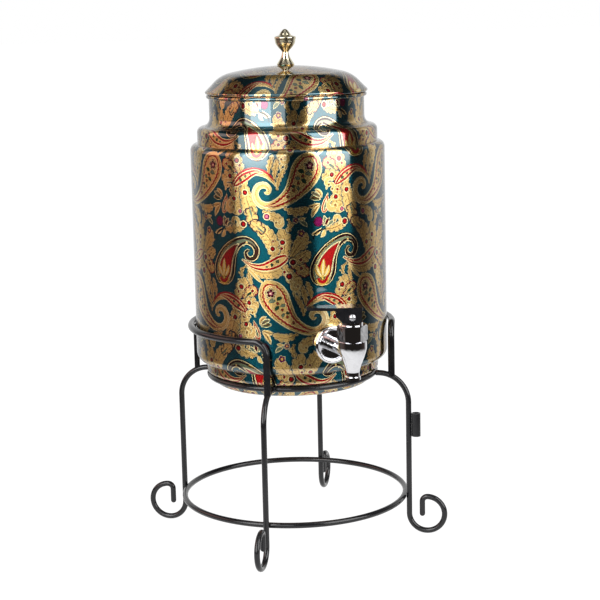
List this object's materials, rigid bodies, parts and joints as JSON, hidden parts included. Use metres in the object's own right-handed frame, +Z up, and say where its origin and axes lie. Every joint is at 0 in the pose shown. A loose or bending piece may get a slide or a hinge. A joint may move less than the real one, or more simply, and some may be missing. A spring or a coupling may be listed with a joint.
{
  "type": "copper water dispenser",
  "caption": "Cylindrical printed copper water pot with a lift-off domed lid, a self-closing lever tap and a black wire stand with scroll feet.",
  "frame": {"origin": "on the floor, on the pot's axis", "axes": "+Z up along the pot's axis; the tap faces -Y; +X is to the right of someone facing the tap"},
  "size_m": [0.2236, 0.2514, 0.448],
  "materials": {
    "printed_copper": "copper sheet with a glossy lacquered paisley print in teal, gold, red and cream",
    "bare_copper": "bare satin copper",
    "knob_brass": "polished brass",
    "brass": "machined brass",
    "chrome": "mirror chrome plate",
    "steel": "plain stainless steel",
    "lever_black": "glossy black moulding",
    "seal_rubber": "black rubber",
    "silicone": "translucent white silicone",
    "black_coat": "semi-gloss black powder coat on steel rod"
  },
  "bodies": {
    "stand": {"support_ring": "black_coat", "base_ring": "black_coat", "leg_front_left": "black_coat", "leg_front_right": "black_coat", "leg_back_left": "black_coat", "leg_back_right": "black_coat", "guard_rail": "black_coat", "rail_end_left": "black_coat", "rail_end_right": "black_coat", "post_back_left": "black_coat", "post_back_right": "black_coat", "holder_socket": "black_coat"},
    "pot": {"pot_floor": "bare_copper", "pot_foot": "printed_copper", "pot_seat": "printed_copper", "pot_body": "printed_copper", "pot_shoulder": "printed_copper", "pot_neck": "printed_copper", "tap_flange": "chrome", "outer_seal": "seal_rubber", "inner_seal": "seal_rubber", "lock_nut": "brass", "tap_body": "chrome", "tap_bonnet": "chrome", "tap_spring": "steel"},
    "turret": {"thrust_collar": "chrome"},
    "stem": {"valve_stem": "steel", "seat_cup": "silicone", "pivot_pin": "steel"},
    "lever": {"lever": "lever_black"},
    "lid": {"lid_shell": "printed_copper", "lid_skirt": "bare_copper", "lid_knob": "knob_brass", "knob_stud": "steel", "knob_washer": "steel", "knob_nut": "steel"}
  },
  "joints": [
    {"name": "pot_lift", "type": "slide", "parent": "stand", "child": "pot", "axis": [0, 0, 1], "range_m": [0, 0.09]},
    {"name": "lid_lift", "type": "slide", "parent": "pot", "child": "lid", "axis": [0, 0, 1], "range_m": [0, 0.06]},
    {"name": "lever_swivel", "type": "hinge", "parent": "pot", "child": "turret", "pos_m": [0, -0.127, 0.2111], "axis": [0, 0, 1], "range_deg": [0, 180]},
    {"name": "stem_lift", "type": "slide", "parent": "turret", "child": "stem", "axis": [0, 0, 1], "range_m": [0, 0.00418], "stiffness_N_per_m": 600, "springref_m": -0.005, "deforming": ["tap_spring"]},
    {"name": "lever_press", "type": "hinge", "parent": "stem", "child": "lever", "pos_m": [0, -0.127, 0.2172], "axis": [-0.3907, -0.9205, 0], "range_deg": [0, 33]}
  ],
  "couplings": [
    {"joint": "lever_press", "follows": "stem_lift", "rad_per_m": 125}
  ]
}
